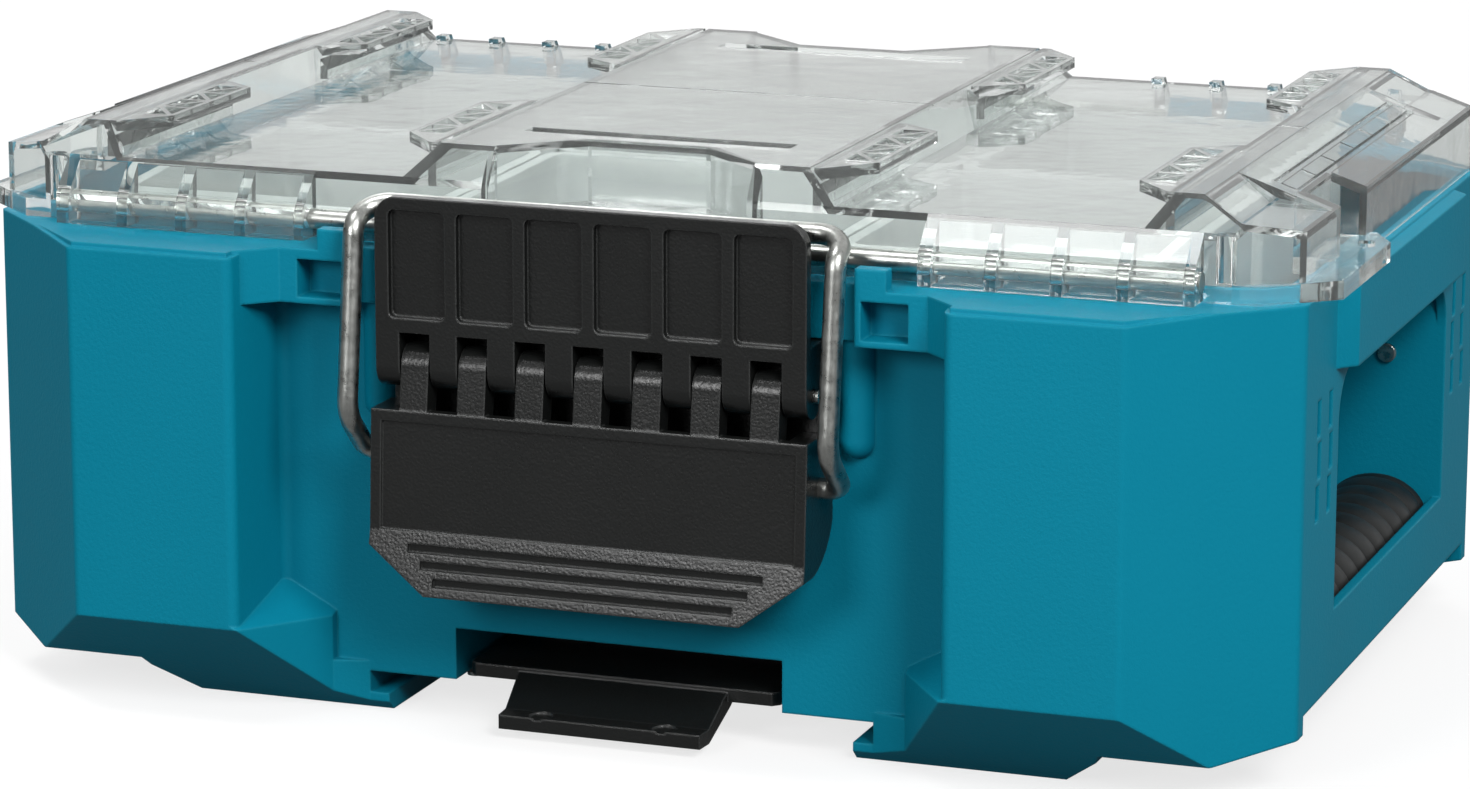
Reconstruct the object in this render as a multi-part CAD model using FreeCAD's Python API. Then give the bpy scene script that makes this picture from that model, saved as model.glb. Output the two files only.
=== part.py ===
"""Stackable compartment storage box: teal case, clear hinged lid, wire-bail latch, lift-out bins.

Millimetres. +Z is up, the latch faces -Y, and the origin is on the floor under the box's centre.
Names that end in _in are depths behind the plane of the front pillars (the back uses the same depths
in front of the plane of the back pillars). Names that end in _z are heights above the floor, and names
that end in _x are distances from the middle plane.
"""
import FreeCAD, Part
import math
import os

Vec = FreeCAD.Vector
os.makedirs("parts", exist_ok=True)

# Overall case
half_width = 199.5          # middle plane to the side walls
case_depth = 295.0          # front pillars to back pillars
rim_z = 140.5               # top of the rim that the lid meets
base_z = 12.0               # underside of the floor
latch_half = 65.0           # half the width of the latch plate
wall = 3.0
floor_wall = 3.0
overrun = 5.0               # how far any cutting tool passes the face that it cuts
rest_gap = 0.4              # clear space between bodies that move on each other
fit_gap = 0.05              # radial clearance of a pin or rod in its hole
seat_gap = 0.3              # clear space round a piece that is dropped in

# Places across the front, from the latch outwards
flap_over = 1.0             # how far the flap stands past the latch plate
flap_half = latch_half + flap_over
bail_side = 6.6
bail_leg_x = flap_half + bail_side
bail_slot_gap = 4.1
bail_slot_x = bail_leg_x + bail_slot_gap    # the band steps back inside this, to let the bail pass
bail_slot_in = 22.0
band_corner_out = 21.3
band_corner_x = bail_slot_x + band_corner_out
band_corner_in = 3.0
band_corner_wide = 9.0
pillar_front_x = band_corner_x + band_corner_wide   # inner edge of a pillar at its front

# Corner pillars and the recess between them
recess_in = 30.0
pillar_draft = 2.0
pillar_back_x = pillar_front_x - pillar_draft       # the same edge at the recess wall
chamfer_wide = 41.0
chamfer_deep = 38.7
shelf_drop = 1.5
pillar_edge_z = rim_z - shelf_drop  # front edge of the shelf on top of a pillar
shelf_in = 20.0             # where that shelf reaches the rim's height
nose_z = 29.0               # where the sloped nose under a pillar starts
nose_in = 33.4              # where the nose's slope reaches the floor
pillar_round = 3.0

# Rim band over the front recess, and the tabs and pockets beside the latch
band_tall = 16.0
band_z = rim_z - band_tall
band_in = 14.6
tab_wide = 9.2
tab_outer_x = bail_slot_x + tab_wide
tab_rise = 6.1
tab_top_z = rim_z + tab_rise
tab_thick = 5.0
square_edge = 1.8
square_wide = 13.9
square_tall = 11.2
square_inner_x = bail_slot_x + square_edge
square_outer_x = square_inner_x + square_wide
square_low_z = band_z + square_edge
square_high_z = square_low_z + square_tall
square_deep = 9.0
column_out = 0.4
column_x = bail_leg_x + column_out
column_radius = 5.0
column_tall = 30.5
column_low_z = band_z - column_tall
apron_wide = 18.5
apron_inner_x = pillar_front_x - apron_wide         # inner front corner of the shoulder beside a foot
apron_inner_in = 27.0
apron_rise_share = 0.54     # climb of the shoulder's top towards the pillar
apron_back_share = 0.35     # climb of the same top towards the recess wall
lip_tall = 4.5              # upstanding lip inside the lid's walls
lip_thick = 2.0

# Feet
foot_front_step = 10.5
foot_inner_x = apron_inner_x - foot_front_step
foot_wide = 56.5
foot_outer_x = foot_inner_x + foot_wide
foot_bevel = 11.5
foot_step_x = foot_outer_x + foot_bevel
foot_step_z = 9.0
foot_back_in = 112.0
foot_flange_wide = 6.0
foot_flange_z = 5.5

# Finger rebate under the side walls
rebate_rise = 10.0
rebate_z = base_z + rebate_rise
rebate_wide = 14.0
rebate_from_in = 45.0
side_rise_wide = 19.5
side_rise_x = half_width - side_rise_wide   # from here out the floor's edge climbs to the side wall
side_rise_z = 4.5

# Side handle pockets
pocket_half = 69.5          # half the pocket's length along the side
pocket_deep = 33.5
pocket_inner_x = half_width - wall - pocket_deep
pocket_floor_z = 38.0
pocket_drop = 27.0
pocket_top_z = rim_z - pocket_drop
window_lip = 6.5
window_low_z = pocket_floor_z + window_lip
window_round = 15.0
beam_proud = 5.1
beam_tall = 25.0
beam_low_z = rim_z - beam_tall
beam_half = 68.5
beam_slope = 6.0
slot_near = 79.5            # the pair of slots beside a pocket, from the box's mid-depth
slot_far = 93.0
slot_wide = 4.5
slot_deep = 1.8
slot_drop = 30.0
slot_tall = 10.6            # each slot has three lengths, and the middle one is set over
slot_web = 1.6
slot_count = 3
slot_shift = 1.2
slot_high_z = rim_z - slot_drop

# Rubber grips and the pocket's steel pins
grip_tall = 13.5
grip_apex_z = pocket_floor_z + grip_tall
grip_rib_pitch = 11.7
grip_rib_wide = 3.2
grip_rib_proud = 0.9
pin_from_side = 18.1
pin_x = half_width - pin_from_side
pin_drop = 24.5
pin_z = pocket_top_z - pin_drop
pin_radius = 2.0
pin_head_radius = 2.9
pin_head_thick = 1.2
pin_long = 9.0
pin_boss_radius = 5.0

# Lid shell
lid_skin = 2.5
lid_front_in = 30.0
lid_side_step = 1.5
lid_side_x = half_width - lid_side_step
lid_side_in = 41.0          # where the side walls start behind the cut corners
lid_corner_wide = 17.7
lid_corner_x = lid_side_x - lid_corner_wide         # where the front wall ends at the cut corners
deck_rise = 20.0
deck_z = rim_z + deck_rise
crest_rise = 9.5
crest_z = deck_z + crest_rise       # tops of the rails, the centre block and the hooks
slope_in = 36.2             # front edge of the crest; the slope from the deck ends there
rail_wide = 43.0
rail_in_slope = 7.0
rail_top_wide = 8.2
rail_in_base_x = lid_side_x - rail_wide
rail_in_top_x = rail_in_base_x + rail_in_slope
rail_out_top_x = rail_in_top_x + rail_top_wide
block_slope = 9.5
block_over = 0.5
block_base_x = latch_half + block_over
block_top_x = block_base_x - block_slope
side_notch_in = 80.0        # finger notch in each side wall, behind the front flange
side_notch_long = 31.5
side_notch_end_in = side_notch_in + side_notch_long
side_notch_deep = 10.6
rail_dip_from_side = 16.3   # the ends of the rails' outer slopes are hollowed to this line
rail_dip_rise = 2.9
rail_dip_end_in = 71.5
rail_dip_x = lid_side_x - rail_dip_from_side
rail_dip_z = deck_z + rail_dip_rise
seam_wide = 1.2
seam_deep = 0.6

# Stacking hooks along the rails and the centre block
hook_root_front_in = slope_in
hook_front_taper = 13.9
hook_tip_long = 53.6
hook_back_taper = 8.6
hook_tip_front_in = hook_root_front_in + hook_front_taper
hook_tip_back_in = hook_tip_front_in + hook_tip_long
hook_root_back_in = hook_tip_back_in + hook_back_taper
hook_thick = 3.2
block_hook_root = 5.7
block_hook_reach = 12.2
block_hook_root_x = block_base_x - block_hook_root
block_hook_tip_x = block_hook_root_x + block_hook_reach
rail_hook_root = 4.7
rail_hook_reach = 11.8
rail_hook_root_x = rail_in_base_x + rail_hook_root
rail_hook_tip_x = rail_hook_root_x - rail_hook_reach
hook_pocket_count = 4
hook_pocket_deep = 1.8
hook_pocket_web = 1.6
hook_rib_count = 3
hook_rib_thick = 1.6

# Notch in the front and back of the centre block, and the grooves on its top
notch_in = 56.3
notch_root_x = 17.6
notch_mouth_x = 39.4
notch_mouth_in = 37.5
notch_drop = 8.5
notch_floor_z = deck_z - notch_drop
groove_near_in = 62.0
groove_wide = 7.0
groove_half = 41.0
groove_deep = 1.4

# Ladder of grooves along the rails' outer slopes
ladder_cell_count = 6
ladder_half = 69.5
ladder_in_from_side = 18.0
ladder_out_from_side = 11.6
ladder_in_x = lid_side_x - ladder_in_from_side
ladder_out_x = lid_side_x - ladder_out_from_side
ladder_groove_wide = 2.0
ladder_rung_wide = 0.9
ladder_deep = 0.9

# Flanges on the lid's lower front corners
flange_thick = 5.4
flange_wide = 9.0
flange_front_wide = 6.7
flange_tail_wide = 2.0
flange_x = lid_side_x + flange_wide
flange_front_x = lid_corner_x + flange_front_wide
flange_corner_in = 47.8
flange_back_in = 104.0
flange_end_in = 117.0
flange_tail_x = lid_side_x + flange_tail_wide
flange_hole_radius = 2.5
flange_hole_x = lid_side_x + flange_hole_radius
flange_hole_in = 102.0

# Steel rods of the lid, and the ribbed tunnel round the front one
rod_radius = 3.0
rod_in = 26.9
rod_rise = 6.6
rod_z = rim_z + rod_rise
tunnel_first_out = 16.3
tunnel_end_step = 8.3
tunnel_first_x = bail_slot_x + tunnel_first_out
tunnel_last_x = lid_corner_x - tunnel_end_step
rod_end = 0.5
rod_half = tunnel_last_x + rod_end
tunnel_rib_count = 5
tunnel_rib_thick = 3.4
tunnel_front_in = 20.4
tunnel_top_in = 22.6
tunnel_top_rise = 5.9
tunnel_shoulder_rise = 3.4
tunnel_low_gap = 1.1
tunnel_top_z = rod_z + tunnel_top_rise
tunnel_shoulder_z = rod_z + tunnel_shoulder_rise
tunnel_low_z = rim_z + tunnel_low_gap
tunnel_skin = 1.8
corner_post_radius = 2.6    # posts inside the lid's front corners
corner_post_step = 3.0
corner_post_x = lid_corner_x - corner_post_step
corner_post_gap = 1.0

# Hinge at the back
hinge_in = 23.0
knuckle_radius = 5.5
case_knuckle_gap = 0.5
knuckle_heel = 9.0
hinge_bump = 1.6            # how far the lid's hinge ribs stand over the deck's edge
hinge_bump_run = 5.0

# Latch plate
latch_pin_in = 14.5
latch_barrel_radius = 6.5
plate_front_in = latch_pin_in - latch_barrel_radius
plate_thick = 3.6
plate_rise = 18.5
plate_top_z = rim_z + plate_rise
plate_round = 6.5
panel_count = 6
panel_edge = 4.1            # border beside the outer panels
panel_web = 3.6
panel_top_edge = 3.7
panel_tall = 31.3
panel_high_z = plate_top_z - panel_top_edge
panel_low_z = panel_high_z - panel_tall
panel_deep = 2.4
panel_round = 1.8
knuckle_slot_drop = 4.2
latch_pin_drop = 10.3
knuckle_slot_z = panel_low_z - knuckle_slot_drop
latch_pin_z = knuckle_slot_z - latch_pin_drop
latch_pin_radius = 2.0
latch_pin_proud = 1.9
latch_pin_half = latch_half + latch_pin_proud
flap_knuckle_count = 7
flap_knuckle_edge = 7.7     # from the plate's side to the outermost knuckle
flap_knuckle_wide = 8.4
knuckle_side_gap = 0.5
knuckle_slot_wide = flap_knuckle_wide + 2 * knuckle_side_gap
latch_web_thick = 3.0
latch_web_drop = 18.5
latch_web_low_z = latch_pin_z - latch_web_drop
plate_block_edge = 7.0
plate_block_half = latch_half - plate_block_edge
plate_block_under = 2.0
plate_block_low_z = panel_low_z - plate_block_under
plate_block_drop = 1.0
plate_block_high_z = rim_z - plate_block_drop

# Latch flap
flap_drop = 12.1
flap_shoulder_z = latch_pin_z - flap_drop
flap_top_in = 6.2
flap_skin = 3.6
flap_field_tall = 34.9
flap_field_low_z = flap_shoulder_z - flap_field_tall
flap_field_low_in = 4.4
flap_lip_tall = 17.8
flap_bottom_z = flap_field_low_z - flap_lip_tall
flap_bottom_in = 0.2
flap_corner_tall = 13.3
flap_corner_wide = 18.0
flap_side_z = flap_bottom_z + flap_corner_tall
flap_bottom_half = flap_half - flap_corner_wide
flap_border = 3.2
flap_field_deep = 1.0
flap_groove_count = 3
flap_groove_wide = 2.6
flap_groove_pitch = 4.6
flap_groove_deep = 1.2
flap_groove_edge = 12.0
flap_groove_half = flap_half - flap_groove_edge
flap_groove_taper = 4.2
flap_groove_first = 3.4
cheek_thick = 6.5
cheek_neck_in = 21.0        # back edge of the side walls beside the plate's web
cheek_neck_tall = 7.4
cheek_neck_z = flap_shoulder_z - cheek_neck_tall
cheek_heel_in = 28.4        # back edge of the side walls below it
cheek_heel_slope = 5.0
cheek_heel_tall = 14.0
cheek_heel_top_z = cheek_neck_z - cheek_heel_slope
cheek_heel_low_z = cheek_heel_top_z - cheek_heel_tall
cheek_toe_in = 11.5
cheek_curve_in = 24.0       # a point on the round between the heel and the toe
cheek_curve_drop = 6.6
cheek_curve_z = cheek_heel_low_z - cheek_curve_drop

# Bail
bail_radius = 3.0
bail_pivot_in = 17.5
bail_pivot_drop = 27.0
bail_pivot_z = latch_pin_z - bail_pivot_drop
bail_belly_in = 4.2
bail_belly_rise = 13.0
bail_belly_z = bail_pivot_z + bail_belly_rise
bail_bar_in = 20.3
bail_bar_rise = 7.5
bail_bar_z = rod_z + bail_bar_rise
bail_shoulder_in = 10.6     # the legs stand nearly upright and bend back to the crossbar here
bail_shoulder_drop = 5.1
bail_shoulder_z = bail_bar_z - bail_shoulder_drop
bail_bar_round = 8.0
bail_shoulder_round = 5.0
bail_belly_round = 11.0
bail_foot_round = 4.2

# Screws of the latch plate
plate_screw_count = 4
plate_screw_edge = 16.0     # from the end of the plate's block to its last screw
plate_screw_radius = 1.75
plate_screw_head_radius = 3.6
plate_screw_head_thick = 2.2
plate_screw_bite = 6.5

# Stack lock under the front of the floor
slider_half = 48.0
lock_side_gap = 2.5
lock_half = slider_half + lock_side_gap
lock_rise = 15.5
lock_top_z = base_z + lock_rise
lock_wall_in = 29.5
slider_front_in = 34.0
slider_long = 36.0
slider_back_in = slider_front_in + slider_long
slider_thick = 4.0
slider_travel = 8.0
spring_closed_long = 10.0   # length of a spring when its turns touch
lock_back_in = slider_back_in + slider_travel + spring_closed_long
tongue_root_half = 32.6
tongue_tip_half = 31.0
tongue_tip_in = 14.8
tongue_tip_z = 3.2
tongue_lip = 6.5
tongue_thick = 4.2
dimple_x = 19.0
dimple_radius = 3.4
dimple_deep = 0.6
lock_screw_out = 3.3
lock_screw_x = lock_half + lock_screw_out
retainer_edge = 3.2
retainer_half = lock_screw_x + retainer_edge
retainer_front_in = 48.0
retainer_thick = 3.0
lock_screw_front = 5.0
lock_screw_back = 4.0
lock_screw_front_in = retainer_front_in + lock_screw_front
lock_screw_back_in = lock_back_in - lock_screw_back
lock_screw_radius = 1.5
lock_screw_head_radius = 2.7
lock_screw_head_thick = 1.8
lock_screw_bite = 10.0
lock_boss_edge = 3.0
lock_boss_half = retainer_half + lock_boss_edge
spring_x = 30.0
spring_radius = 3.2
spring_wire = 0.5
spring_turns = 6
spring_rise = 5.6
spring_z = base_z + spring_rise
slider_heel_thick = 3.0
slider_heel_tall = 9.0
slider_heel_half = 38.0

# Lift-out bins
bin_columns = ("left", "middle", "right")
bin_gap = 1.0
bin_skin = 1.6
bin_round = 7.0
bin_rim_wide = 2.2
bin_rim_tall = 3.0
bin_lid_gap = 1.0
bin_top_z = notch_floor_z - lid_skin - bin_lid_gap  # under the lowest point of the closed lid

half_depth = case_depth / 2
lid_low_z = rim_z + rest_gap
nose_slope = nose_z / nose_in


def at_front(depth):
    """Y of a plane that lies depth behind the front pillars."""
    return depth - half_depth


def at_back(depth):
    """Y of a plane that lies depth in front of the back pillars."""
    return half_depth - depth


def box(x0, x1, y0, y1, z0, z1):
    """Box between two corners."""
    return Part.makeBox(x1 - x0, y1 - y0, z1 - z0, Vec(x0, y0, z0))


def prism(points, run):
    """Solid from a closed outline of points, carried along the vector run."""
    return Part.Face(Part.makePolygon(list(points) + [points[0]])).extrude(run)


def arc_prism(points, bend, run):
    """Like prism, but the last point joins the first by an arc that passes through bend."""
    edges = [Part.LineSegment(start, end).toShape() for start, end in zip(points, points[1:])]
    edges.append(Part.Arc(points[-1], bend, points[0]).toShape())
    return Part.Face(Part.Wire(edges)).extrude(run)


def plan_prism(points, z0, z1):
    """Outline of (x, y) points carried from z0 up to z1."""
    return prism([Vec(x, y, z0) for x, y in points], Vec(0, 0, z1 - z0))


def side_prism(points, x0, x1):
    """Outline of (y, z) points carried from x0 to x1."""
    return prism([Vec(x0, y, z) for y, z in points], Vec(x1 - x0, 0, 0))


def front_prism(points, y0, y1):
    """Outline of (x, z) points carried from y0 to y1."""
    return prism([Vec(x, y0, z) for x, z in points], Vec(0, y1 - y0, 0))


def bar_x(y, z, radius, x0, x1):
    return Part.makeCylinder(radius, x1 - x0, Vec(x0, y, z), Vec(1, 0, 0))


def bar_y(x, z, radius, y0, y1):
    return Part.makeCylinder(radius, y1 - y0, Vec(x, y0, z), Vec(0, 1, 0))


def bar_z(x, y, radius, z0, z1):
    return Part.makeCylinder(radius, z1 - z0, Vec(x, y, z0), Vec(0, 0, 1))


def flip_x(shape):
    return shape.mirror(Vec(0, 0, 0), Vec(1, 0, 0))


def flip_y(shape):
    return shape.mirror(Vec(0, 0, 0), Vec(0, 1, 0))


def left_right(shapes):
    """The shapes and their mirror images on the other side of the middle plane."""
    return list(shapes) + [flip_x(shape) for shape in shapes]


def four_ways(shapes):
    """The shapes at all four corners of the box."""
    right = list(shapes) + [flip_y(shape) for shape in shapes]
    return left_right(right)


def joined(shapes):
    """One solid from touching shapes."""
    return shapes[0].multiFuse(list(shapes[1:])).removeSplitter()


def bent_wire(points, rounds, radius):
    """Round wire through points, with an arc of the given radius at each inner point."""
    edges = []
    start = points[0]
    for before, corner, after, bend in zip(points, points[1:], points[2:], rounds):
        into = (corner - before).normalize()
        out = (after - corner).normalize()
        half_turn = into.getAngle(out) / 2
        reach = bend * math.tan(half_turn)
        arc_start = corner - into * reach
        arc_end = corner + out * reach
        inward = (out - into).normalize()
        arc_middle = corner + inward * (bend / math.cos(half_turn) - bend)
        edges.append(Part.LineSegment(start, arc_start).toShape())
        edges.append(Part.Arc(arc_start, arc_middle, arc_end).toShape())
        start = arc_end
    edges.append(Part.LineSegment(start, points[-1]).toShape())
    path = Part.Wire(edges)
    first = (points[1] - points[0]).normalize()
    section = Part.Wire(Part.Circle(points[0], first, radius).toShape())
    return path.makePipeShell([section], True, False)


def repeat(count, pitch):
    """Places of count things at a pitch, centred on zero."""
    return [(index - (count - 1) / 2) * pitch for index in range(count)]


def spread(count, half):
    """Places of count things spread evenly from -half to half."""
    return repeat(count, 2 * half / (count - 1))


def case_outline(inset):
    """Plan of the case wall, moved inwards by inset."""
    turn = math.atan2(chamfer_deep, chamfer_wide)
    front_shift = inset * math.tan(turn / 2)
    side_shift = inset * math.tan((math.pi / 2 - turn) / 2)
    quarter = [
        (pillar_back_x + inset, at_front(recess_in + inset)),
        (pillar_front_x + inset, at_front(inset)),
        (half_width - chamfer_wide - front_shift, at_front(inset)),
        (half_width - inset, at_front(chamfer_deep + side_shift)),
    ]
    right = quarter + [(x, -y) for x, y in reversed(quarter)]
    return right + [(-x, -y) for x, y in right]


def nose_cut():
    """Wedge that slopes the front of the pillars and feet down to the floor."""
    high = nose_z + overrun * nose_slope
    low = -overrun * nose_slope
    points = [(at_front(-overrun), high), (at_front(nose_in + overrun), low), (at_front(-overrun), low)]
    return side_prism(points, -half_width - overrun, half_width + overrun)


def shelf_cut():
    """Wedge that slopes the tops of the pillars from the rim down to their front edges."""
    drop = (rim_z - pillar_edge_z) / shelf_in
    points = [(at_front(shelf_in), rim_z), (at_front(-overrun), pillar_edge_z - overrun * drop),
              (at_front(-overrun), rim_z + overrun), (at_front(shelf_in), rim_z + overrun)]
    return side_prism(points, -half_width - overrun, half_width + overrun)


def roofed_prism(points, low, roof):
    """Outline of (x, y) points carried from low up to a sloped roof of height roof(x, y)."""
    wires = []
    for corners in ([Vec(x, y, low) for x, y in points], [Vec(x, y, roof(x, y)) for x, y in points]):
        wires.append(Part.makePolygon(corners + corners[:1]))
    return Part.makeLoft(wires, True, True)


def foot():
    """One locking foot, with the flange on its inner side and its front cut back to the shoulder."""
    section = [(foot_inner_x, 0), (foot_outer_x, 0), (foot_step_x, foot_step_z),
               (foot_step_x + base_z - foot_step_z, base_z + floor_wall), (foot_inner_x, base_z + floor_wall)]
    block = front_prism(section, at_front(0), at_front(foot_back_in))
    flange = box(foot_inner_x - foot_flange_wide, foot_inner_x, at_front(0), at_front(foot_back_in),
                 0, foot_flange_z)
    flange_x = foot_inner_x - foot_flange_wide - overrun
    ahead = plan_prism([(flange_x, at_front(-overrun)), (pillar_front_x, at_front(-overrun)),
                        (pillar_front_x, at_front(0)), (apron_inner_x, at_front(apron_inner_in)),
                        (foot_inner_x, at_front(recess_in)), (flange_x, at_front(recess_in))],
                       -overrun, base_z + floor_wall + overrun)
    return [block.cut(ahead), flange.cut(ahead)]


def rim_band():
    """Band over the front recess, stepped back behind the latch."""
    right = [(bail_slot_x, at_front(bail_slot_in)), (bail_slot_x, at_front(band_in)),
             (band_corner_x, at_front(band_in)), (pillar_front_x + wall, at_front(band_corner_in)),
             (pillar_front_x + wall, at_front(recess_in + wall))]
    points = right + [(-x, y) for x, y in reversed(right)]
    return plan_prism(points, band_z, rim_z)


def front_tab():
    """Small tab that stands on the band beside the bail."""
    return box(bail_slot_x, tab_outer_x, at_front(band_in), at_front(band_in + tab_thick), band_z, tab_top_z)


def front_column():
    """Half-round column down the recess wall, with a domed foot."""
    y = at_front(recess_in)
    shaft = bar_z(column_x, y, column_radius, column_low_z, band_z + wall)
    return joined([shaft, Part.makeSphere(column_radius, Vec(column_x, y, column_low_z))])


def front_apron():
    """Sloped shoulder in the lower corner of the front recess, over the front of a foot."""
    back = at_front(recess_in + wall)
    points = [(pillar_front_x, at_front(0)), (apron_inner_x, at_front(apron_inner_in)), (apron_inner_x, back),
              (pillar_front_x + wall, back), (pillar_front_x + wall, at_front(0))]

    def roof(x, y):
        return nose_z + (x - pillar_front_x) * apron_rise_share + (y - at_front(0)) * apron_back_share

    return roofed_prism(points, 0, roof)


def pocket_shell():
    """Walls round one side handle pocket, inside the case."""
    return box(pocket_inner_x - wall, half_width, -pocket_half - wall, pocket_half + wall,
               pocket_floor_z - wall, pocket_top_z + wall)


def pocket_space():
    """The space inside one side pocket, with the window through the side wall."""
    inside = box(pocket_inner_x, half_width - wall, -pocket_half, pocket_half, pocket_floor_z, pocket_top_z)
    window = box(half_width - wall - overrun, half_width + beam_proud + overrun, -pocket_half, pocket_half,
                 window_low_z, pocket_top_z)
    corners = [edge for edge in window.Edges
               if abs(edge.BoundBox.ZLength) < rest_gap and edge.BoundBox.XLength > overrun
               and edge.BoundBox.ZMin > window_low_z + overrun]
    return joined([inside, window.makeFillet(window_round, corners)])


def side_beam():
    """Beam under the rim that stands proud of the side wall, with sloped ends."""
    x0 = half_width - wall
    x1 = half_width + beam_proud
    points = [(x0, -beam_half - beam_slope), (half_width, -beam_half - beam_slope), (x1, -beam_half),
              (x1, beam_half), (half_width, beam_half + beam_slope), (x0, beam_half + beam_slope)]
    return plan_prism(points, beam_low_z, rim_z - rest_gap)


def side_slots():
    """Shallow slots in the side wall beside a pocket, each in lengths with webs between."""
    cuts = []
    for place in (slot_near, slot_far):
        for index in range(slot_count):
            high = slot_high_z - index * (slot_tall + slot_web)
            shifted = place - slot_shift * (index % 2)
            for y in (shifted, -shifted):
                cuts.append(box(half_width - slot_deep, half_width + overrun, y - slot_wide / 2,
                                y + slot_wide / 2, high - slot_tall, high))
    return cuts


def side_rebate():
    """Finger rebate under the side wall between the corner pillars."""
    section = [(half_width - rebate_wide, base_z - overrun), (half_width + overrun, base_z - overrun),
               (half_width + overrun, rebate_z), (half_width - rebate_wide + rebate_z - base_z, rebate_z),
               (half_width - rebate_wide, base_z)]
    return front_prism(section, at_front(rebate_from_in), at_back(rebate_from_in))


def rebate_cover():
    """Walls over the finger rebate, inside the case."""
    return box(half_width - rebate_wide - wall, half_width, at_front(rebate_from_in - wall),
               at_back(rebate_from_in - wall), base_z, rebate_z + wall)


def side_rise():
    """Wedge that lifts the floor's edge towards the side wall."""
    far = half_width + overrun
    climb = side_rise_z / (half_width - side_rise_x)
    section = [(side_rise_x, base_z), (far, base_z + (far - side_rise_x) * climb), (far, base_z - overrun),
               (side_rise_x, base_z - overrun)]
    return front_prism(section, -half_depth - overrun, half_depth + overrun)


def lock_housing_half():
    """Half the width of the bump in the floor over the stack lock."""
    return lock_boss_half + wall


def lock_housing():
    """Bump in the floor over the stack lock, with bosses for its screws."""
    half = lock_housing_half()
    return box(-half, half, at_front(recess_in), at_front(lock_back_in + wall), base_z, lock_top_z + wall)


def lock_space():
    """Recess in the floor that holds the stack lock."""
    return box(-lock_half, lock_half, at_front(lock_wall_in - overrun), at_front(lock_back_in),
               base_z - overrun, lock_top_z)


def lock_screw_places():
    return [(x, at_front(depth)) for x in (-lock_screw_x, lock_screw_x)
            for depth in (lock_screw_front_in, lock_screw_back_in)]


def lock_screw(radius, head_radius, x, y):
    """Screw up through the retainer into the floor."""
    head_z = base_z - retainer_thick - lock_screw_head_thick
    head = bar_z(x, y, head_radius, head_z, base_z - retainer_thick)
    return joined([head, bar_z(x, y, radius, base_z - retainer_thick, base_z + lock_screw_bite)])


def plate_screw_places():
    z = (plate_block_low_z + plate_block_high_z) / 2
    return [(x, z) for x in spread(plate_screw_count, plate_block_half - plate_screw_edge)]


def plate_screw(radius, head_radius, x, z):
    """Screw from inside the case, through the rim band, into the block behind the latch plate."""
    head_y = at_front(recess_in + wall)
    head = bar_y(x, z, head_radius, head_y, head_y + plate_screw_head_thick)
    return joined([head, bar_y(x, z, radius, at_front(bail_slot_in - plate_screw_bite), head_y)])


def knuckle_places():
    """Left edges of the case's hinge knuckles, each between two knuckles of the lid."""
    ribs = tunnel_rib_places()
    return [(low + tunnel_rib_thick / 2 + case_knuckle_gap, high - tunnel_rib_thick / 2 - case_knuckle_gap)
            for low, high in zip(ribs, ribs[1:])]


def tunnel_rib_places():
    """Middles of the ribs that carry a rod, on the right-hand side."""
    first = tunnel_first_x + tunnel_rib_thick / 2
    last = tunnel_last_x - tunnel_rib_thick / 2
    step = (last - first) / (tunnel_rib_count - 1)
    return [first + index * step for index in range(tunnel_rib_count)]


def case_knuckle(x0, x1):
    """One knuckle round the hinge rod, on a bracket from the back wall's rim."""
    y = at_back(hinge_in)
    barrel = bar_x(y, rod_z, knuckle_radius, x0, x1)
    heel = side_prism([(y - knuckle_radius, rod_z), (y - knuckle_radius, rim_z - wall),
                       (y + knuckle_heel, rim_z - wall), (y + knuckle_radius, rod_z)], x0, x1)
    bracket = box(x0, x1, at_back(recess_in + wall), y, rim_z - wall, rim_z)
    return joined([barrel, heel, bracket])


def rim_lip():
    """Upstanding lip along the front and round the front corners, inside the lid's walls."""
    outer = lid_outline(lid_skin + rest_gap)
    inner = lid_outline(lid_skin + rest_gap + lip_thick)
    ring = plan_prism(outer, rim_z - wall, rim_z + lip_tall)
    ring = ring.cut(plan_prism(inner, rim_z - wall - overrun, rim_z + lip_tall + overrun))
    back = at_front(side_notch_in - lid_skin - rest_gap)
    return ring.cut(box(-half_width, half_width, back, half_depth, rim_z - wall - overrun,
                        rim_z + lip_tall + overrun))


def rim_frame():
    """Flat frame under the lid's walls, which ties the lip to the case walls."""
    outside = plan_prism(case_outline(wall / 2), rim_z - wall, rim_z)
    return outside.cut(plan_prism(lid_outline(lid_skin + rest_gap + lip_thick), rim_z - wall - overrun,
                                  rim_z + overrun))


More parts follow.
